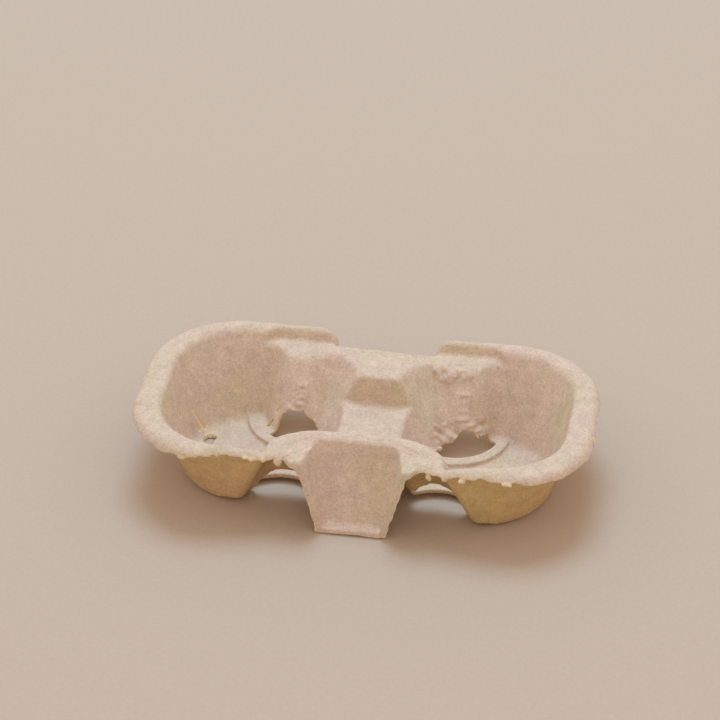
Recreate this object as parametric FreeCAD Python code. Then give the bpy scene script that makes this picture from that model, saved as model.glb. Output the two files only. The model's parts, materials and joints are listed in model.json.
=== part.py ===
import FreeCAD, Part
import math
import os

# Moulded pulp carrier for two cups, pressed as one sheet of even thickness.
# X runs along the two wells, Y runs from the sloping front panel to the flat
# back shelf, Z points up and the feet stand on Z = 0.  All lengths are in mm.

V = FreeCAD.Vector

# Sheet
wall = 2.2
floor_thickness = 2.4

# Wells: a round floor, and walls that spread by these amounts up to the rim
well_x = 54.0
floor_radius = 32.0
floor_cove = 1.4
well_inner_spread = 14.5
well_outer_spread = 9.5
well_front_spread = 12.0
well_back_spread = 19.0
opening_inner_x = well_x - floor_radius - well_inner_spread
opening_outer_x = well_x + floor_radius + well_outer_spread
opening_front_y = floor_radius + well_front_spread
opening_back_y = floor_radius + well_back_spread
opening_inner_corner = 20.0
opening_outer_corner = 33.0
corner_flat = 1.5
bead_depth = 3.0
bead_width = 2.6
bead_share = 0.35

# Rim around both wells
rim_end_width = 13.0
rim_front_width = 10.5
rim_back_width = 9.5
rim_half_length = opening_outer_x + rim_end_width
rim_front_y = opening_front_y + rim_front_width
rim_back_y = opening_back_y + rim_back_width
rim_corner = 44.0
rim_height = 41.5
rim_skirt = 5.0
rim_round = 3.2
rim_inner_share = 0.6
rim_front_setback = 4.5
rim_front_straight = 4.5
rim_front_kink_x = rim_half_length - rim_corner - rim_front_straight

# Round fingers that lean away from the cups, with a window at each foot
finger_in = 17.0
finger_out = 2.0
finger_x = well_x - finger_in
finger_y = floor_radius + finger_out
finger_foot_radius = 18.0
back_finger_tip_radius = 14.0
back_finger_lean = 19.5
front_finger_tip_radius = 12.0
front_finger_lean_x = 10.0
front_finger_lean_y = 1.0
front_finger_rise = 0.5
window_width = 27.0
window_crest = 12.7
window_past_foot = 0.5
step_width = 8.5
step_rise = 2.2
step_radius = finger_foot_radius + step_width

# Trough between the wells
trough_height = 22.0
trough_reach = 16.5
trough_half_length = opening_inner_x + trough_reach
trough_back_y = 26.0
trough_back_lean = 2.4

# Back shelf with its open notch
shelf_drop = 6.0
shelf_height = rim_height - shelf_drop
curb_width = 7.5
shelf_back_y = rim_back_y - curb_width
shelf_past_well = 6.0
shelf_half_length = well_x + shelf_past_well
curb_lean = 2.0
shelf_corner = 5.0
shelf_cut = 6.0
shelf_lip = 0.6
notch_half_width = 23.3
notch_flare = 4.7
notch_depth = 14.0

# Front ridge and the sloping panel
ridge_drop = 4.0
ridge_height = rim_height - ridge_drop
ridge_half_width = 30.0
ridge_middle_y = 14.0
ridge_shoulder_y = 18.6
ridge_end_y = 21.5
ridge_lean = 1.5
ridge_corner = 6.0
ridge_middle_half_width = 13.0
ridge_shoulder_half_width = 21.0
ridge_corner_run = 4.0
dip_margin = 3.0
dip_half_length = ridge_half_width + dip_margin
crease_y = 24.5
crease_half_width = 20.0
panel_foot_y = 45.6
panel_foot_half_width = 14.0
panel_foot_height = 2.6
panel_mouth_half_width = 29.5
panel_lip = 2.4
panel_crease_corner = 12.0
panel_foot_corner = 8.0
panel_toe = 3.0
front_plane_y = panel_foot_y + panel_toe

# Run past a face, so that a cut leaves no skin
over = 12.0
skin = 1.0
least_radius = 0.8
least_height = 0.2


def wire(points):
    return Part.makePolygon([V(*p) for p in points] + [V(*points[0])])


def prism(points, z0, z1):
    face = Part.Face(wire([(x, y, z0) for x, y in points]))
    return face.extrude(V(0, 0, z1 - z0))


def loft(wires):
    return Part.makeLoft(wires, True, True)


def outline(points, radii, z):
    """Closed outline through the corner points, each corner rounded by its radius."""
    count = len(points)
    arcs = []
    for i in range(count):
        corner = V(points[i][0], points[i][1], z)
        before = V(points[i - 1][0], points[i - 1][1], z) - corner
        after = V(points[(i + 1) % count][0], points[(i + 1) % count][1], z) - corner
        r = radii[i]
        if r <= 0:
            arcs.append([corner, None, corner])
            continue
        before.normalize()
        after.normalize()
        half = before.getAngle(after) / 2.0
        reach = r / math.tan(half)
        middle = before + after
        middle.normalize()
        deep = r / math.sin(half) - r
        arcs.append([corner + before * reach, corner + middle * deep,
                     corner + after * reach])
    edges = []
    for i in range(count):
        start, middle, end = arcs[i]
        if middle is not None:
            edges.append(Part.Arc(start, middle, end).toShape())
        edges.append(Part.makeLine(end, arcs[(i + 1) % count][0]))
    return Part.Wire(edges)


def rounded(x0, x1, y0, y1, z, r_in, r_out):
    """Rectangle with the corner radius r_in at x0 and r_out at x1."""
    edges = []
    corners = [
        (x1 - r_out, y0 + r_out, r_out, 270),
        (x1 - r_out, y1 - r_out, r_out, 0),
        (x0 + r_in, y1 - r_in, r_in, 90),
        (x0 + r_in, y0 + r_in, r_in, 180),
    ]
    arcs = []
    for cx, cy, r, start in corners:
        points = []
        for turn in (0, 45, 90):
            a = math.radians(start + turn)
            points.append(V(cx + r * math.cos(a), cy + r * math.sin(a), z))
        arcs.append(points)
    for i in range(4):
        edges.append(Part.Arc(*arcs[i]).toShape())
        edges.append(Part.makeLine(arcs[i][2], arcs[(i + 1) % 4][0]))
    return Part.Wire(edges)


def well_section(z, grow):
    """Outline of the right well's upper face at height z, grown sideways."""
    part_up = (z - floor_thickness) / (rim_height - floor_thickness)

    def between(low, high):
        return low + (high - low) * part_up

    x0 = between(well_x - floor_radius, opening_inner_x) - grow
    x1 = between(well_x + floor_radius, opening_outer_x) + grow
    y0 = -between(floor_radius, opening_front_y) - grow
    y1 = between(floor_radius, opening_back_y) + grow
    r_in = between(floor_radius, opening_inner_corner)
    r_out = between(floor_radius, opening_outer_corner)
    limit = min(x1 - x0, y1 - y0) / 2.0 - corner_flat
    return rounded(x0, x1, y0, y1, z, min(r_in, limit), min(r_out, limit))


def well(under):
    """Right well: the space above the sheet, or with under the space it fills."""
    if under:
        sections = [
            well_section(0.0, wall - floor_cove),
            well_section(floor_cove, wall),
            well_section(rim_height, wall),
        ]
    else:
        sections = [
            well_section(floor_thickness, -floor_cove),
            well_section(floor_thickness + floor_cove, 0.0),
            well_section(rim_height - bead_depth, 0.0),
            well_section(rim_height - bead_share * bead_depth, bead_share * bead_width),
            well_section(rim_height, bead_width),
            well_section(rim_height + skin, bead_width),
        ]
    return loft(sections)


def tongue(x, y, z, r, far):
    """Outline with a round nose of radius r at (x, y) that runs straight to far."""
    way = 1.0 if far > y else -1.0
    nose = Part.Arc(V(x + r, y, z), V(x, y - way * r, z), V(x - r, y, z)).toShape()
    left = Part.makeLine(V(x - r, y, z), V(x - r, far, z))
    end = Part.makeLine(V(x - r, far, z), V(x + r, far, z))
    right = Part.makeLine(V(x + r, far, z), V(x + r, y, z))
    return Part.Wire([nose, left, end, right])


def back_finger(inset):
    top = shelf_height - (inset if inset == 0 else wall)
    tip = max(back_finger_tip_radius - inset, least_radius)
    foot = finger_foot_radius - inset
    low = max(floor_thickness + step_rise - inset, least_height)
    tip_y = finger_y + back_finger_lean
    far = rim_back_y + over
    return loft([
        tongue(finger_x, finger_y, -skin, foot, far),
        tongue(finger_x, finger_y, low, foot, far),
        tongue(finger_x, tip_y, top, tip, far),
    ])


def front_finger(inset):
    top = rim_height + front_finger_rise if inset == 0 else ridge_height - wall
    foot = finger_foot_radius - inset
    low = max(floor_thickness + step_rise - inset, least_height)
    far = -rim_front_y - over
    tip = front_finger_tip_radius - inset
    tip_x = finger_x - front_finger_lean_x
    tip_y = finger_y - front_finger_lean_y
    return loft([
        tongue(finger_x, -finger_y, -skin, foot, far),
        tongue(finger_x, -finger_y, low, foot, far),
        tongue(tip_x, -tip_y, top, tip, far),
    ])


def step(side, inset):
    """Raised part of a well floor around one finger."""
    height = floor_thickness + step_rise if inset == 0 else step_rise
    radius = step_radius - inset
    base = V(finger_x, side * finger_y, -skin)
    return Part.makeCylinder(radius, height + skin, base)


def both_sides(shape):
    return [shape, shape.mirror(V(0, 0, 0), V(1, 0, 0))]


def trough(inset):
    z = trough_height - inset
    back = trough_back_y + inset
    lean = trough_back_lean / (shelf_height - trough_height)
    top = rim_height + (skin if inset == 0 else 0.0)
    front = -ridge_end_y - ridge_corner_run
    points = [
        (-trough_half_length, front, z),
        (-trough_half_length, back, z),
        (-trough_half_length, back + lean * (top - z), top),
        (-trough_half_length, front, top),
    ]
    face = Part.Face(wire(points))
    return face.extrude(V(2 * trough_half_length, 0, 0))


def shelf_outline(z, grow):
    x = shelf_half_length + grow
    y = shelf_back_y + grow
    cut = shelf_cut
    points = [(-x, 0), (x, 0), (x, y - cut), (x - cut, y), (cut - x, y), (-x, y - cut)]
    r = shelf_corner
    return outline(points, [0, 0, r, r, r, r], z)


def shelf(inset):
    top = rim_height + (skin if inset == 0 else 0.0)
    return loft([
        shelf_outline(shelf_height - inset, inset),
        shelf_outline(top, inset + curb_lean),
    ])


def ridge_outline(z, grow):
    x = ridge_half_width + grow
    y0 = ridge_middle_y - grow
    y1 = ridge_shoulder_y - grow
    y2 = ridge_end_y - grow
    far = rim_front_y + over
    a = ridge_middle_half_width
    b = ridge_shoulder_half_width
    points = [(-a, -y0), (a, -y0), (b, -y1), (x, -y2), (x, -far),
              (-x, -far), (-x, -y2), (-b, -y1)]
    r = ridge_corner
    return outline(points, [r, r, r, r, 0, 0, r, r], z)


def ridge(inset):
    top = rim_height + 2.0 * skin if inset == 0 else ridge_height - wall
    return loft([
        ridge_outline(-skin, ridge_lean - inset),
        ridge_outline(top, -inset),
    ])


def notch(inset):
    z = shelf_height - inset
    top = rim_height + (skin if inset == 0 else 0.0)
    slope = notch_flare / (rim_height - shelf_height)
    low = notch_half_width + inset
    high = low + slope * (top - z)
    y0 = shelf_back_y - notch_depth
    y1 = rim_back_y + over
    return loft([
        wire([(-low, y0, z), (low, y0, z), (low, y1, z), (-low, y1, z)]),
        wire([(-high, y0, top), (high, y0, top), (high, y1, top), (-high, y1, top)]),
    ])


def dip(inset):
    z = ridge_height - inset
    top = rim_height + (skin if inset == 0 else 0.0)
    slope = (rim_front_kink_x - dip_half_length) / (rim_height - ridge_height)
    low = dip_half_length + inset
    high = low + slope * (top - z)
    y0 = -rim_front_y - over
    y1 = -ridge_middle_y + ridge_corner_run
    return loft([
        wire([(-low, y0, z), (low, y0, z), (low, y1, z), (-low, y1, z)]),
        wire([(-high, y0, top), (high, y0, top), (high, y1, top), (-high, y1, top)]),
    ])


def panel_space(inset):
    """Space in front of the sloping panel; with an inset also the panel itself."""
    z0 = panel_foot_height - (inset if inset == 0 else panel_foot_height)
    z1 = ridge_height
    far = rim_front_y + over if inset == 0 else front_plane_y
    run = (panel_foot_y - crease_y) / (ridge_height - panel_foot_height)
    foot_y = panel_foot_y + run * (panel_foot_height - z0) - inset
    foot_x = panel_foot_half_width + inset
    top_x = crease_half_width + inset
    mouth = panel_mouth_half_width + inset
    top_y = crease_y - inset
    top = [(-top_x, -top_y), (top_x, -top_y), (mouth, -far), (-mouth, -far)]
    foot = [(-foot_x, -foot_y), (foot_x, -foot_y), (foot_x + skin, -far),
            (-foot_x - skin, -far)]
    high = panel_crease_corner
    low = panel_foot_corner
    upper_wire = outline(top, [high, high, 0, 0], z1)
    body = loft([outline(foot, [low, low, 0, 0], z0), upper_wire])
    if inset == 0:
        above = Part.Face(upper_wire).extrude(V(0, 0, rim_height + skin - z1))
        body = body.fuse(above)
    return body


def panel_flange():
    """Narrow lip along both sides and the foot of the panel."""
    low = panel_foot_half_width + panel_lip + skin
    high = panel_mouth_half_width + panel_lip + skin
    y = -front_plane_y
    face = Part.Face(wire([(-low, y, 0), (low, y, 0), (high, y, ridge_height),
                           (-high, y, ridge_height)]))
    return face.extrude(V(0, wall, 0))


def rim_outline(inset):
    x = rim_half_length - inset
    back = rim_back_y - inset
    front = rim_front_y - inset
    k = rim_front_kink_x
    m = panel_mouth_half_width
    s = rim_front_setback
    return [(x, back), (-x, back), (-x, -front), (-k, -front), (-m, s - front),
            (m, s - front), (k, -front), (x, -front)]


def rim_block(inset, z0, z1, edge_round):
    block = prism(rim_outline(inset), z0, z1)
    x = rim_half_length - inset
    corners = []
    for e in block.Edges:
        p = e.CenterOfMass
        upright = e.BoundBox.ZLength > z1 - z0 - 0.01
        if upright and abs(abs(p.x) - x) < 0.01:
            corners.append(e)
    block = block.makeFillet(rim_corner - inset, corners)
    if edge_round > 0:
        tops = [e for e in block.Edges if e.BoundBox.ZMin > z1 - 0.01]
        block = block.makeFillet(edge_round, tops)
    return block


def rim(height):
    outer = rim_block(0.0, height - rim_skirt, height, rim_round)
    inner = rim_block(wall, height - rim_skirt - skin, height - wall,
                      rim_round - rim_inner_share * wall)
    return outer.cut(inner)


def fuse_all(shapes):
    return shapes[0].multiFuse(shapes[1:])


def windows():
    cuts = []
    half = window_width / 2.0
    for side in (-1, 1):
        base = V(finger_x, side * finger_y, -skin)
        disc = Part.makeCylinder(finger_foot_radius + window_past_foot, window_crest + skin, base)
        reach = finger_foot_radius + skin
        y0 = side * finger_y if side < 0 else side * finger_y - reach
        box = Part.makeBox(2 * half, reach, window_crest + skin, V(finger_x - half, y0, -skin))
        cuts += both_sides(disc.common(box))
    return cuts


# Body that the sheet's upper face leaves open
upper = fuse_all(both_sides(well(False)) + [trough(0.0), shelf(0.0)])
keep = both_sides(back_finger(0.0)) + both_sides(front_finger(0.0)) + [ridge(0.0)]
keep += both_sides(step(1, 0.0)) + both_sides(step(-1, 0.0))
upper = upper.cut(fuse_all(keep))
ledge = Part.makeBox(2 * notch_half_width, over, 2 * wall,
                     V(-notch_half_width, shelf_back_y + shelf_lip, shelf_height - 1.5 * wall))
upper = upper.multiFuse([notch(0.0), dip(0.0), panel_space(0.0), ledge] + windows())

# Body that the sheet fills together with that space
lower = fuse_all(both_sides(well(True)) + [trough(wall), shelf(wall)])
sheet_zone = rim_block(0.0, shelf_height - rim_skirt, rim_height, rim_round)
lower = lower.multiFuse([notch(wall).common(sheet_zone), dip(wall).common(sheet_zone)])
free = both_sides(back_finger(wall)) + both_sides(front_finger(wall)) + [ridge(wall)]
free += both_sides(step(1, wall)) + both_sides(step(-1, wall))
lower = lower.cut(fuse_all(free))
lower = lower.multiFuse([panel_space(wall), panel_flange(), rim(rim_height)])

tray = lower.cut(upper).Solids[0]

# The origin lies at the bottom centre of the whole tray
tray.translate(V(0, (rim_front_y - rim_back_y) / 2.0, 0))

os.makedirs("parts", exist_ok=True)
tray.exportStep("parts/carrier_tray.step")
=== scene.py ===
import json
import math
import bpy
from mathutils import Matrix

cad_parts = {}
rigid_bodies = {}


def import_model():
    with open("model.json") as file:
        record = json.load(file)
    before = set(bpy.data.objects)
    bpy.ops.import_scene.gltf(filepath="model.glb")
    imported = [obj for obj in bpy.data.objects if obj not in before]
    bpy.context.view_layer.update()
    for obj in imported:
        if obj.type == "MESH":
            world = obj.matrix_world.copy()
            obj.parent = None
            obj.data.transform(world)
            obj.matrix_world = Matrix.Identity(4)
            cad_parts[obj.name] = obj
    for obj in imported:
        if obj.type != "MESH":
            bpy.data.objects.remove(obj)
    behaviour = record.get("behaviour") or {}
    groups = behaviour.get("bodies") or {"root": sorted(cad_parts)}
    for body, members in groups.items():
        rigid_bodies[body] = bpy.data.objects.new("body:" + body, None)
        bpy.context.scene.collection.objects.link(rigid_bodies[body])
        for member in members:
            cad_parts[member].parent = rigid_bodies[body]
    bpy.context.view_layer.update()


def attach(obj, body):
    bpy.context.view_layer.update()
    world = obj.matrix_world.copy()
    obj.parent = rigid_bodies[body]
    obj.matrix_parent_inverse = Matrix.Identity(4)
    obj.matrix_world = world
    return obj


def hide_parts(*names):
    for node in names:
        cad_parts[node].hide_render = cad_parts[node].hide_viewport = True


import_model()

from types import SimpleNamespace
import bpy
import numpy as np
import openvdb
from mathutils import Matrix, Vector

# The pulp tray is one sheet of even thickness under a smooth upper face, worked
# out on a grid as a distance field. Lengths are in mm with Y = 0 between the
# wells' middles; the part's own frame lies SHIFT further along Y.
SHIFT = -3.0
STEP = 0.55
BAND = 8.0
LOW = (-113.0, -60.0, -3.3)
HIGH = (113.0, 66.0, 46.0)
SLAB = 40

RIM = 41.5
FLAT = 38.2
SHELF = 35.5
TROUGH = 22.0
FLOOR = 2.4
RAISED = 4.6
SHEET = 2.3
FINGER_X, FINGER_Y, FINGER_FOOT = 37.0, 34.0, 18.0
BACK_RISE, BACK_TAPER = 30.9, 4.0
FRONT_RISE, FRONT_TAPER = 37.4, 6.0
PANEL_FOOT = 3.4
PANEL_RUN = 15.3
CREASE_Y = -30.3
FAR = 9.0
MM = 1000.0
TRIANGLES = 190000
RIDGE_BACK = ((0, -24.5), (18, -24.5), (22.5, -25.3), (27.5, -27.2), (32, -30.0), (36.5, -34.0))
RIDGE_CREASE = ((0, -30.3), (19, -30.3), (23.7, -32.4), (27.5, -34.0), (31.5, -35.0), (36.5, -35.0))
FRONT_LINE = ((-85, -54.4), (-73, -53.8), (-62, -50.8), (-44, -47.4), (-35, -44.4), (-32.5, -44.6),
              (-28.5, -49.4), (-26, -49.8), (26, -49.8), (27.5, -49.4), (30, -45.4), (33, -45.2),
              (44, -48.0), (57, -51.0), (75, -53.4), (90, -53.4))

axes = [np.arange(LOW[i], HIGH[i], STEP, dtype=np.float32) for i in range(3)]
shape = tuple(len(a) for a in axes)


def smin(a, b, k):
    h = np.clip(0.5 + 0.5 * (b - a) / k, 0.0, 1.0)
    return b * (1 - h) + a * h - k * h * (1 - h)


def smax(a, b, k):
    return -smin(-a, -b, k)


def ramp(a, b, v):
    t = np.clip((v - a) / (b - a), 0.0, 1.0)
    return t * t * (3 - 2 * t)


def curve(v, points):
    xs, ys = zip(*points)
    return np.interp(v, xs, ys).astype(np.float32)


def spline(values, low, wave, count):
    """Quadratic spline weights of lattice values along one axis."""
    t = (values - low) / wave + 1.5
    i = np.floor(t).astype(int)
    f = t - i
    m = np.zeros((len(values), count), dtype=np.float32)
    rows = np.arange(len(values))
    m[rows, i - 1] = 0.5 * (1 - f) ** 2
    m[rows, i] = 0.75 - (f - 0.5) ** 2
    m[rows, i + 1] = 0.5 * f ** 2
    return m


def noise(rows, wave, seed):
    """Smooth random field over a slab of the grid, about -1 to 1."""
    rng = np.random.default_rng(seed)
    dims = [int((HIGH[i] - LOW[i]) / wave) + 5 for i in range(3)]
    g = rng.uniform(-1.7, 1.7, dims).astype(np.float32)
    w = [spline(axes[i][rows] if i == 0 else axes[i], LOW[i], wave, dims[i]) for i in range(3)]
    g = np.einsum("ai,ijk->ajk", w[0], g)
    g = np.einsum("bj,ajk->abk", w[1], g)
    return g @ w[2].T


def capsule(g, p, q, r):
    """Distance to a round bar from p to q."""
    d = np.array(q, dtype=np.float32) - np.array(p, dtype=np.float32)
    t = ((g.x - p[0]) * d[0] + (g.y - p[1]) * d[1] + (g.z - p[2]) * d[2]) / float(d @ d)
    t = np.clip(t, 0.0, 1.0)
    return np.sqrt((g.x - p[0] - t * d[0]) ** 2 + (g.y - p[1] - t * d[1]) ** 2
                   + (g.z - p[2] - t * d[2]) ** 2) - r


def blob(g, c, r):
    """Rough distance to an ellipsoid with the half sizes r about c."""
    k = np.sqrt(((g.x - c[0]) / r[0]) ** 2 + ((g.y - c[1]) / r[1]) ** 2
                + ((g.z - c[2]) / r[2]) ** 2)
    return (k - 1.0) * min(r)


def tongue(u, y, cx, cy, r):
    """Round nosed bar that runs on from (cx, cy) away from the well's middle."""
    return np.where(y < cy, np.hypot(u - cx, y - cy), np.abs(u - cx)) - r


def place(rows):
    """Coordinates of one slab, slowly warped because the real tray is uneven."""
    x = axes[0][rows][:, None, None]
    y = axes[1][None, :, None]
    z = axes[2][None, None, :]
    g = SimpleNamespace(x=x, y=y, z=z)
    g.quiver = noise(rows, 7.0, 4)
    g.fine = noise(rows, 2.6, 5)
    g.tiny = noise(rows, 1.5, 6)
    g.X = x * (1 + 0.020 * ramp(35.0, 105.0, x)) + 0.5 * noise(rows, 30.0, 1)
    pull = ramp(30.0, 78.0, x) * ramp(6.0, 40.0, z)
    wobble = 0.5 * noise(rows, 28.0, 2)
    g.Y = np.where(y < 0, y * (1 + 0.095 * pull), y) + wobble
    g.outer_y = np.where(y < 0, y * (1 + 0.05 * pull), y) + wobble
    g.Z = z + 0.4 * noise(rows, 34.0, 3) * ramp(12.0, 34.0, z)
    g.u = np.abs(g.X)
    return g


def well(g):
    """Space inside a cup well, wider towards the rim."""
    t = (g.Z - FLOOR) / (RIM - FLOOR)
    x0 = 22.0 - 14.5 * t
    x1 = 86.0 + 9.5 * t
    y0 = -32.0 - 12.0 * t
    y1 = 32.0 + 19.0 * t
    cx, hx = (x0 + x1) / 2, (x1 - x0) / 2
    cy, hy = (y0 + y1) / 2, (y1 - y0) / 2
    r = np.where(g.u > cx, 32.0 + t, 32.0 - 12.0 * t)
    r = np.minimum(r, np.minimum(hx, hy) - 0.5)
    qx = np.abs(g.u - cx) - hx + r
    qy = np.abs(g.Y - cy) - hy + r
    side = np.hypot(np.maximum(qx, 0), np.maximum(qy, 0)) + np.minimum(np.maximum(qx, qy), 0) - r
    return smax(side * 0.93, FLOOR - g.Z, 3.0)


def trough(g):
    """Space above the flat bridge between the wells."""
    back = 26.0 + 2.4 * (g.Z - TROUGH) / 13.5
    return smax(smax(g.u - 24.0, g.Y - back, 0.8), TROUGH - g.Z, 1.4)


def rise(g, height):
    """Share of the way up a finger of this height."""
    return np.clip((g.Z - RAISED) / height, 0.0, 1.1)


def fingers(g):
    """The leaning round fingers and the angle about each."""
    t = rise(g, BACK_RISE)
    fy = FINGER_Y + 19.5 * t
    back = tongue(g.u, g.Y, FINGER_X, fy, FINGER_FOOT - BACK_TAPER * t) * 0.82
    back_angle = np.degrees(np.arctan2(g.u - FINGER_X, fy - g.Y))
    t = rise(g, FRONT_RISE)
    gx = FINGER_X - 10.0 * t
    gy = FINGER_Y + 5.0 * t
    front = tongue(g.u, -g.Y, gx, gy, FINGER_FOOT - FRONT_TAPER * t) * 0.93
    front_angle = np.degrees(np.arctan2(g.u - gx, gy + g.Y))
    return back, back_angle, front, front_angle


def crest(g):
    """Height of the ridge's top along its length."""
    return RIM - 3.3 * ramp(17.0, 38.0, g.u)


def ridge_wall(g):
    """Pulp in front of the ridge's wall towards the trough."""
    lean = 1.6 * (RIM - g.Z) / RIM
    return smax(g.Y - curve(g.u, RIDGE_BACK) - lean, g.u - 34.0 - lean, 5.0)


def front_deck(g):
    """Space above the front rim, which dips beside the raised ridge."""
    level = FLAT + (RIM - FLAT) * ramp(40.0, 64.0, g.u)
    high = crest(g)
    face = (curve(g.u, RIDGE_CREASE) - (high - g.Z) * 0.9 - g.Y) / 1.35
    hump = smax(smax(g.Z - high, face, 0.7), g.Y + 20.0, 1.0)
    over = smax(level - g.Z, -hump, 1.2)
    return np.maximum(over, g.Y + 20.0)


def shelf(g):
    """Space above the lower flat at the back, kept off the front half."""
    space = smax(SHELF - g.Z, g.Y - 53.0 - 0.33 * (g.Z - SHELF), 1.2)
    space = smax(space, (g.u + g.Y - 107.0) / 1.414, 2.0)
    return np.maximum(smax(space, g.u - 60.0, 1.0), -g.Y)


def notch(g):
    """Gap in the back rim between the wells."""
    side = (g.u - 23.3 - 0.78 * (g.Z - SHELF)) * 0.8
    return np.maximum(smax(SHELF - g.Z, side, 1.2), 39.0 - g.Y)


def scoop(g):
    """Hollow in front of the sloping panel, with a narrow ledge under its crease."""
    slope = PANEL_RUN / 38.9
    plane = (g.Y - CREASE_Y + slope * (RIM - g.Z)) * 0.93
    t = np.clip((g.Z - PANEL_FOOT) / 38.1, 0.0, 1.1)
    px, py, pm = 13.4 + 6.6 * t, -45.6 + PANEL_RUN * t, 14.6 + 14.6 * t
    run = np.hypot(66.5 + py, pm - px)
    cheek = ((g.u - px) * (66.5 + py) + (g.Y - py) * (pm - px)) / run * 0.93
    mouth = smax(plane, cheek, 3.5)
    space = smax(mouth, PANEL_FOOT - g.Z, 1.0)
    ledge = smax(mouth - 1.9, curve(g.u, ((0, 40.2), (20, 40.2), (30, 38.0))) - g.Z, 0.5)
    return smin(space, ledge, 0.6)


def upper_face(g):
    """Signed height of the sheet's upper face: below zero inside the pulp body."""
    g.back, g.back_angle, g.front, g.front_angle = fingers(g)
    space = smin(well(g), trough(g), 2.0)
    space = smax(space, -g.back, 3.0)
    space = smax(space, -smin(g.front, ridge_wall(g), 5.0), 2.6)
    for side in (-1, 1):
        ring = np.hypot(g.u - FINGER_X, g.Y - side * FINGER_Y) - 26.5
        space = smax(space, -smax(ring, g.Z - RAISED, 0.6), 0.7)
    space = smin(space, shelf(g), 2.2)
    space = smin(space, notch(g), 1.6)
    space = smin(space, front_deck(g), 2.6)
    space = smin(space, RIM - g.Z, 3.2)
    return -smin(space, scoop(g), 1.0)


def outline(g):
    """Signed distance in plan to the tray's edge."""
    s = np.hypot(np.maximum(g.u - 64.5, 0), np.maximum(np.abs(g.outer_y - 3.0) - 13.5, 0))
    s = s + np.minimum(np.maximum(g.u - 64.5, np.abs(g.outer_y - 3.0) - 13.5), 0) - 44.0
    s = smax(s, curve(g.X, FRONT_LINE) - g.outer_y, 2.0)
    return smax(s, -np.maximum(g.u - 23.8, 53.8 - g.Y), 1.5)


def zones(g):
    """Where the edge has a shorter lip: panel, notch and front rim."""
    g.panel_zone = ramp(33.0, 28.5, g.u) * ramp(-32.0, -38.0, g.Y)
    g.notch_zone = ramp(32.0, 27.0, g.u) * ramp(44.0, 50.0, g.Y)
    g.front_zone = ramp(88.0, 70.0, g.u) * ramp(-20.0, -34.0, g.Y)


def body(g):
    """Full block of pulp under the upper face, which the sheet then follows."""
    s = outline(g) + 0.3 * np.maximum(g.Z - 36.0, 0.0)
    zones(g)
    k = 4.2 - 3.2 * g.panel_zone
    return np.maximum(smax(upper_face(g), s, k), -2.6 - g.z)


def cut_zone(edge, s):
    """Below zero under the lip's free edge, where the sheet is trimmed off."""
    return smax(edge, -(s + SHEET + 2.4), 0.6)


def window(g, side, end, crest_line):
    """Torn opening at the foot of one finger, its crest given by angle."""
    if end > 0:
        angle, finger = g.back_angle, g.back
    else:
        angle, finger = g.front_angle, g.front
    top = curve(angle, crest_line) + 0.55 * g.fine + 0.55 * g.tiny
    field = np.maximum(g.z - top, np.abs(finger + 1.0) - 3.6)
    away = np.where((g.x * side > 0) & (g.y * end > 0), -FAR, FAR)
    return np.maximum(field, away)


RIGHT_BACK = ((-27, -6), (-22, 4.6), (-19, 5.7), (-10, 7.4), (3, 8.9), (8, 10.6), (11, 12.2),
              (16, 13.4), (35, 12.0), (44, 9.0), (55, 8.7), (71, 7.9), (80, -6))
LEFT_BACK = ((-40, -6), (-36, 5.0), (-29, 8.9), (-17, 12.3), (-5, 14.6), (7, 14.8), (19, 14.0),
             (30, 12.4), (38, 7.5), (42, -6))
FRONT = ((-52, -6), (-46, 7.0), (-30, 11.0), (-10, 12.8), (10, 12.9), (30, 11.2), (46, 7.0), (52, -6))
# Places of the front windows in the list of holes: their edges aren't pale
FRONT_WINDOWS = (2, 3)


def holes(g):
    """Windows first, then the holes and slits torn through both wells."""
    return [
        window(g, 1, 1, RIGHT_BACK),
        window(g, -1, 1, LEFT_BACK),
        window(g, 1, -1, FRONT),
        window(g, -1, -1, FRONT),
        blob(g, (-78.0, 12.0, 2.0), (2.9, 4.4, 3.8)) + 1.1 * g.tiny,
        capsule(g, (-78.6, 17.4, 4.4), (-78.4, 19.2, 6.4), 0.8) + 0.4 * g.tiny,
        capsule(g, (-87.8, 17.2, 15.6), (-84.6, 17.9, 8.8), 0.45) + 0.3 * g.tiny,
        capsule(g, (-84.6, 17.9, 8.8), (-82.2, 18.0, 4.0), 0.6) + 0.3 * g.tiny,
        capsule(g, (-85.2, 15.2, 7.6), (-84.0, 14.8, 4.8), 0.7) + 0.3 * g.tiny,
        capsule(g, (-47.4, 26.6, 13.6), (-48.6, 25.6, 9.0), 0.6) + 0.3 * g.tiny,
        capsule(g, (-48.6, 25.6, 9.0), (-52.2, 24.6, 3.8), 0.7) + 0.3 * g.tiny,
        blob(g, (-90.6, 4.6, 19.8), (2.6, 0.75, 1.3)),
        capsule(g, (83.6, 21.0, 9.8), (81.2, 20.7, 4.8), 0.6) + 0.3 * g.tiny,
    ]


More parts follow.
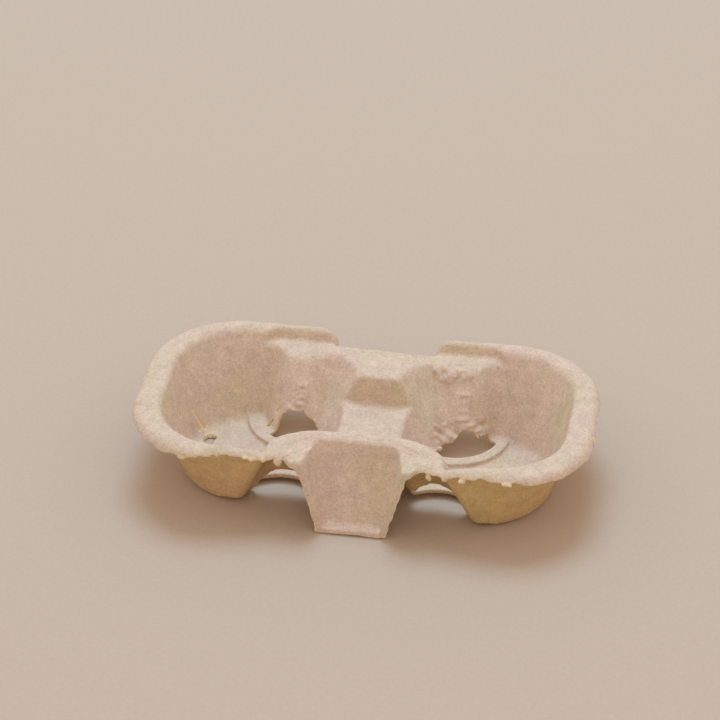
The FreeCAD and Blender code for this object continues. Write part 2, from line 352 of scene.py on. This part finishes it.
# Loose bits of pulp that hang on the torn edges: middle and half sizes
BITS = (
    ((48.4, 21.6, 4.4), (1.7, 1.3, 1.6)), ((46.6, 21.4, 4.0), (1.5, 1.0, 0.9)),
    ((35.2, 17.2, 4.6), (1.4, 1.1, 1.0)), ((31.2, 17.0, 5.6), (1.3, 1.0, 1.3)),
    ((-34.2, -43.6, 33.6), (2.0, 1.5, 2.4)), ((-40.6, -45.4, 35.4), (1.3, 1.2, 1.2)),
    ((-45.5, -46.6, 36.0), (1.6, 1.3, 1.1)), ((-49.0, -47.2, 36.6), (1.1, 1.2, 1.0)),
    ((35.0, -44.4, 33.8), (1.4, 1.2, 1.8)), ((42.5, -46.0, 34.8), (1.3, 1.4, 1.0)),
    ((51.0, -48.0, 35.8), (1.8, 1.2, 0.9)), ((71.0, -49.6, 37.6), (2.4, 1.2, 0.9)),
    ((-77.0, -50.8, 36.6), (2.4, 1.3, 1.0)), ((-66.0, -49.4, 38.0), (1.6, 1.2, 0.9)),
    ((105.0, -4.0, 35.6), (1.6, 2.2, 2.2)), ((106.0, -8.0, 36.0), (1.2, 1.8, 1.6)),
)
# Bends of the groove along the crease under the ridge
GROOVE = ((-27.5, -34.0, 39.2), (-19.0, -30.8, 40.2), (19.0, -30.8, 40.2), (27.5, -34.0, 39.2))


def relief(g):
    """Outward swelling of the sheet: lumps, creases, crushed pulp and plain frames."""
    swell = 0.16 * g.quiver + 0.11 * g.fine * ramp(3.0, 8.0, g.z)
    t = rise(g, BACK_RISE)
    for side, ang, z0, z1, half in ((1, 13.0, 17.2, 27.2, 3.0), (-1, -1.0, 17.4, 25.0, 2.3)):
        across = np.radians(g.back_angle - ang) * (FINGER_FOOT - BACK_TAPER * t)
        here = np.maximum(np.abs(across) - half, np.abs(g.z - (z0 + z1) / 2) - (z1 - z0) / 2)
        away = np.where((g.x * side > 0) & (g.y > 10), 0.0, FAR)
        swell = swell + 0.5 * ramp(0.5, 0.0, np.abs(here + 0.3) - 0.45 + away)
        for share in (0.36, 0.64):
            bar = np.abs(g.z - (z0 + (z1 - z0) * share)) - 0.3
            bar = np.maximum(bar, np.abs(across) - half * 0.6) + away
            swell = swell + 0.22 * ramp(0.5, 0.0, bar)
    crush = ramp(1.2, 0.0, blob(g, (33.5, 41.0, 33.0), (8.5, 5.0, 3.6)))
    swell = swell + crush * (0.8 + 1.2 * g.fine + 0.7 * g.tiny)
    crease = ramp(1.0, 0.0, blob(g, (33.0, 21.0, 11.5), (8.0, 5.5, 4.2)))
    crease = np.maximum(crease, ramp(1.0, 0.0, blob(g, (49.5, 27.0, 12.6), (7.5, 5.0, 3.4))))
    crease = np.maximum(crease, 0.6 * ramp(1.0, 0.0, blob(g, (-38.0, 25.0, 16.8), (5.0, 4.0, 2.6))))
    waves = np.sin(1.9 * g.z + 0.5 * g.x + 2.2 * g.quiver)
    swell = swell + crease * (0.18 * waves + 0.8 * g.fine + 0.4 * g.tiny)
    for p, q in (((-27.5, -45.5, 38.4), (-19.5, -37.0, 38.0)),
                 ((-29.8, -43.5, 38.6), (-23.0, -36.6, 38.4))):
        swell = swell + 0.55 * ramp(1.0, 0.0, capsule(g, p, q, 0.45))
    for p, q in zip(GROOVE, GROOVE[1:]):
        swell = swell - 0.7 * ramp(0.9, 0.0, capsule(g, p, q, 0.4))
    return swell


def sheet(g, dist):
    """The sheet from the distance to the body, how torn each place is, and a mask of its underside for
    painted shade.
    """
    top = upper_face(g)
    zones(g)
    s = outline(g)
    lip = 4.6 - 1.7 * g.panel_zone - 1.4 * g.notch_zone - 2.0 * g.front_zone * (1 - g.panel_zone)
    ragged = (0.5 * g.quiver + 0.5 * g.fine + 0.35 * g.tiny) * (1 - 0.25 * g.panel_zone)
    edge = top + lip + ragged
    thick = SHEET + 0.2 * g.quiver
    thick = thick * np.where(s > -5.0, 0.6 + 0.4 * ramp(0.0, 2.4, edge), 1.0)
    swell = relief(g)
    solid = smax(dist - swell, -(dist + thick), 0.4)
    solid = smax(solid, -cut_zone(edge, s), 0.4)
    torn = np.where(s > -4.5, ramp(1.3, 0.0, edge), 0.0)
    for number, hole in enumerate(holes(g)):
        solid = smax(solid, -hole, 0.3)
        if number not in FRONT_WINDOWS:
            torn = np.maximum(torn, ramp(1.2, 0.0, hole))
    for c, rad in BITS:
        bit = blob(g, c, rad) + 0.55 * g.tiny
        solid = smin(solid, bit, 0.7)
        torn = np.maximum(torn, ramp(0.8, 0.0, bit))
    # The last value marks the sheet's underside, which the material tints darker and warmer as painted
    # shade.
    return np.maximum(solid, -g.z - 0.02), torn, ramp(-0.5, -1.5, dist)


def slabs():
    for start in range(0, shape[0], SLAB):
        yield slice(start, min(start + SLAB, shape[0]))


def polygons(field):
    """Surface points and quads where the field is zero."""
    grid = openvdb.FloatGrid(3.0)
    grid.copyFromArray((field / STEP).clip(-3, 3).astype(np.float32))
    points, _, quads = grid.convertToPolygons(isovalue=0.0, adaptivity=0.0)
    return points, quads


def make_field():
    field = np.empty(shape, dtype=np.float32)
    for rows in slabs():
        field[rows] = body(place(rows))
    points, quads = polygons(field)
    level = openvdb.FloatGrid.createLevelSetFromPolygons(points, quads=quads, halfWidth=BAND)
    dist = np.full(shape, BAND, dtype=np.float32)
    level.copyToArray(dist)
    torn = np.empty(shape, dtype=np.float32)
    # Mask of the sheet's underside, where the material paints shade.
    underside_shade = np.empty(shape, dtype=np.float32)
    for rows in slabs():
        field[rows], torn[rows], underside_shade[rows] = sheet(place(rows), dist[rows] * STEP)
    return field, {"torn": torn, "underside_shade": underside_shade}


def build_tray():
    field, marks = make_field()
    points, quads = polygons(field)
    index = np.clip(np.round(points).astype(int), 0, np.array(shape) - 1)
    points = points * STEP + np.array(LOW) + (0.0, SHIFT, 0.0)
    mesh = bpy.data.meshes.new("pulp_tray")
    mesh.vertices.add(len(points))
    mesh.vertices.foreach_set("co", (points / MM).astype(np.float32).ravel())
    mesh.loops.add(len(quads) * 4)
    mesh.loops.foreach_set("vertex_index", quads.astype(np.int32).ravel())
    mesh.polygons.add(len(quads))
    mesh.polygons.foreach_set("loop_start", np.arange(0, len(quads) * 4, 4, dtype=np.int32))
    mesh.polygons.foreach_set("loop_total", np.full(len(quads), 4, dtype=np.int32))
    mesh.update(calc_edges=True)
    mesh.validate()
    for name, values in marks.items():
        attr = mesh.attributes.new(name, "FLOAT", "POINT")
        attr.data.foreach_set("value", values[index[:, 0], index[:, 1], index[:, 2]])
    tray = bpy.data.objects.new("pulp_tray", mesh)
    bpy.context.scene.collection.objects.link(tray)
    return tray


def largest_piece(tray):
    """Drop loose crumbs and keep the tray itself."""
    for o in bpy.context.scene.objects:
        o.select_set(False)
    bpy.context.view_layer.objects.active = tray
    tray.select_set(True)
    bpy.ops.object.mode_set(mode="EDIT")
    bpy.ops.mesh.select_all(action="SELECT")
    bpy.ops.mesh.separate(type="LOOSE")
    bpy.ops.object.mode_set(mode="OBJECT")
    pieces = [o for o in bpy.context.selected_objects if o.name.startswith("pulp_tray")]
    pieces.sort(key=lambda o: -len(o.data.polygons))
    for o in pieces[1:]:
        bpy.data.objects.remove(o)
    print("pieces", len(pieces), "faces", len(pieces[0].data.polygons))
    pieces[0].name = "pulp_tray"
    return pieces[0]


def thin_out(tray, limit):
    count = sum(len(p.vertices) - 2 for p in tray.data.polygons)
    bpy.context.view_layer.objects.active = tray
    if count > limit:
        mod = tray.modifiers.new("thin", "DECIMATE")
        mod.ratio = limit / count
        mod.use_collapse_triangulate = True
        bpy.ops.object.modifier_apply(modifier=mod.name)
    for p in tray.data.polygons:
        p.use_smooth = True
    print("triangles", sum(len(p.vertices) - 2 for p in tray.data.polygons))


def material(name):
    mat = bpy.data.materials.new(name)
    mat.use_nodes = True
    tree = mat.node_tree
    tree.nodes.clear()
    out = tree.nodes.new("ShaderNodeOutputMaterial")
    bsdf = tree.nodes.new("ShaderNodeBsdfPrincipled")
    tree.links.new(bsdf.outputs["BSDF"], out.inputs["Surface"])
    coords = tree.nodes.new("ShaderNodeTexCoord").outputs["Object"]
    return mat, tree, bsdf, coords


def tex_noise(tree, coords, scale, detail, rough=0.6, distort=0.0):
    n = tree.nodes.new("ShaderNodeTexNoise")
    n.inputs["Scale"].default_value = scale
    n.inputs["Detail"].default_value = detail
    n.inputs["Roughness"].default_value = rough
    n.inputs["Distortion"].default_value = distort
    tree.links.new(coords, n.inputs["Vector"])
    return n.outputs["Fac"]


def color_ramp(tree, fac, stops):
    n = tree.nodes.new("ShaderNodeValToRGB")
    while len(n.color_ramp.elements) < len(stops):
        n.color_ramp.elements.new(0.5)
    for e, (pos, col) in zip(n.color_ramp.elements, stops):
        e.position = pos
        e.color = (*col, 1.0)
    tree.links.new(fac, n.inputs["Fac"])
    return n.outputs["Color"]


def mix(tree, fac, a, b, mode="MIX"):
    n = tree.nodes.new("ShaderNodeMix")
    n.data_type = "RGBA"
    n.blend_type = mode
    for value, socket in ((fac, n.inputs[0]), (a, n.inputs[6]), (b, n.inputs[7])):
        if hasattr(value, "links"):
            tree.links.new(value, socket)
        elif isinstance(value, tuple):
            socket.default_value = (*value, 1.0)
        else:
            socket.default_value = value
    return n.outputs[2]


def grey(v):
    return (v, v, v)


def pulp_material():
    mat, tree, bsdf, coords = material("moulded_pulp")
    warm = (0.735, 0.59, 0.475)
    pink = (0.755, 0.59, 0.50)
    olive = (0.715, 0.595, 0.445)
    cloud = tex_noise(tree, coords, 24.0, 3.0, 0.5)
    tone = color_ramp(tree, cloud, [(0.36, pink), (0.52, warm), (0.66, olive)])
    mottle = tex_noise(tree, coords, 160.0, 5.0, 0.7)
    shade = color_ramp(tree, mottle, [(0.30, grey(0.86)), (0.70, grey(1.08))])
    tone = mix(tree, 1.0, tone, shade, "MULTIPLY")
    grain = tex_noise(tree, coords, 900.0, 3.0, 0.75)
    shade = color_ramp(tree, grain, [(0.30, grey(0.80)), (0.72, grey(1.14))])
    tone = mix(tree, 1.0, tone, shade, "MULTIPLY")
    speck = tree.nodes.new("ShaderNodeTexVoronoi")
    speck.inputs["Scale"].default_value = 420.0
    tree.links.new(coords, speck.inputs["Vector"])
    dark = color_ramp(tree, speck.outputs["Distance"], [(0.03, grey(1.0)), (0.16, grey(0.0))])
    rare = color_ramp(tree, tex_noise(tree, coords, 520.0, 1.0), [(0.60, grey(0.0)), (0.66, grey(1.0))])
    tone = mix(tree, mix(tree, 1.0, dark, rare, "MULTIPLY"), tone, (0.30, 0.20, 0.12))
    # Painted shade: the sheet's underside, the wells' outer walls among it, is multiplied darker and
    # warmer, towards golden brown.
    underside_shade = tree.nodes.new("ShaderNodeAttribute")
    underside_shade.attribute_name = "underside_shade"
    tone = mix(tree, underside_shade.outputs["Fac"], tone, (0.92, 0.80, 0.52), "MULTIPLY")
    torn = tree.nodes.new("ShaderNodeAttribute")
    torn.attribute_name = "torn"
    worn = color_ramp(tree, torn.outputs["Fac"], [(0.15, grey(0.0)), (0.9, grey(0.7))])
    tone = mix(tree, worn, tone, (0.84, 0.69, 0.46))
    tree.links.new(tone, bsdf.inputs["Base Color"])
    bsdf.inputs["Roughness"].default_value = 0.93
    bsdf.inputs["Specular IOR Level"].default_value = 0.18
    fibre = tex_noise(tree, coords, 1100.0, 3.0, 0.7, 0.6)
    lump = tex_noise(tree, coords, 260.0, 3.0, 0.6)
    height = tree.nodes.new("ShaderNodeMath")
    height.operation = "MULTIPLY_ADD"
    height.inputs[1].default_value = 0.45
    tree.links.new(fibre, height.inputs[0])
    tree.links.new(lump, height.inputs[2])
    bump = tree.nodes.new("ShaderNodeBump")
    bump.inputs["Strength"].default_value = 0.55
    bump.inputs["Distance"].default_value = 0.0006
    tree.links.new(height.outputs[0], bump.inputs["Height"])
    tree.links.new(bump.outputs["Normal"], bsdf.inputs["Normal"])
    return mat


def add_floor():
    bpy.ops.mesh.primitive_plane_add(size=8.0, location=(0, 0, 0))
    floor = bpy.context.active_object
    floor.name = "floor"
    mat, tree, bsdf, coords = material("floor_paper")
    grain = tex_noise(tree, coords, 500.0, 4.0, 0.7)
    shade = color_ramp(tree, grain, [(0.3, grey(0.96)), (0.7, grey(1.03))])
    tone = mix(tree, 1.0, (0.585, 0.485, 0.405), shade, "MULTIPLY")
    tree.links.new(tone, bsdf.inputs["Base Color"])
    bsdf.inputs["Roughness"].default_value = 0.9
    bsdf.inputs["Specular IOR Level"].default_value = 0.1
    floor.data.materials.append(mat)


def add_light():
    world = bpy.data.worlds.new("studio")
    bpy.context.scene.world = world
    world.use_nodes = True
    back = world.node_tree.nodes["Background"]
    back.inputs["Color"].default_value = (1.0, 0.84, 0.70, 1.0)
    back.inputs["Strength"].default_value = 0.80
    data = bpy.data.lights.new("key", "AREA")
    data.shape = "DISK"
    data.size = 1.2
    data.energy = 28.0
    data.color = (0.46, 0.75, 1.0)
    key = bpy.data.objects.new("key", data)
    bpy.context.scene.collection.objects.link(key)
    key.location = (-0.15, 0.85, 2.2)
    key.rotation_euler = (-key.location).to_track_quat("-Z", "Y").to_euler()


def add_camera():
    """Camera at the photographed angle."""
    azimuth, elevation, away = math.radians(9.5), math.radians(34.0), 1.5
    pixels_per_mm = 2.16
    frame_pixels = 720.0
    out = Vector((math.sin(azimuth) * math.cos(elevation),
                  -math.cos(azimuth) * math.cos(elevation), math.sin(elevation)))
    right = Vector((0, 0, 1)).cross(out).normalized()
    up = out.cross(right)
    aim = Vector((0, SHIFT, RIM - 1.0)) / MM - right * 0.0037 + up * 0.0197
    data = bpy.data.cameras.new("view")
    cam = bpy.data.objects.new("view", data)
    bpy.context.scene.collection.objects.link(cam)
    turn = Matrix((right, up, out)).transposed().to_4x4()
    cam.matrix_world = Matrix.Translation(aim + out * away) @ turn
    data.sensor_width = 36.0
    data.lens = pixels_per_mm * away * MM / frame_pixels * data.sensor_width
    data.clip_end = 20.0
    bpy.context.scene.camera = cam
    bpy.context.scene.view_settings.view_transform = "Standard"


tray = largest_piece(build_tray())
thin_out(tray, TRIANGLES)
tray.data.materials.clear()
tray.data.materials.append(pulp_material())
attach(tray, "root")
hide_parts("carrier_tray")
add_floor()
add_light()
add_camera()
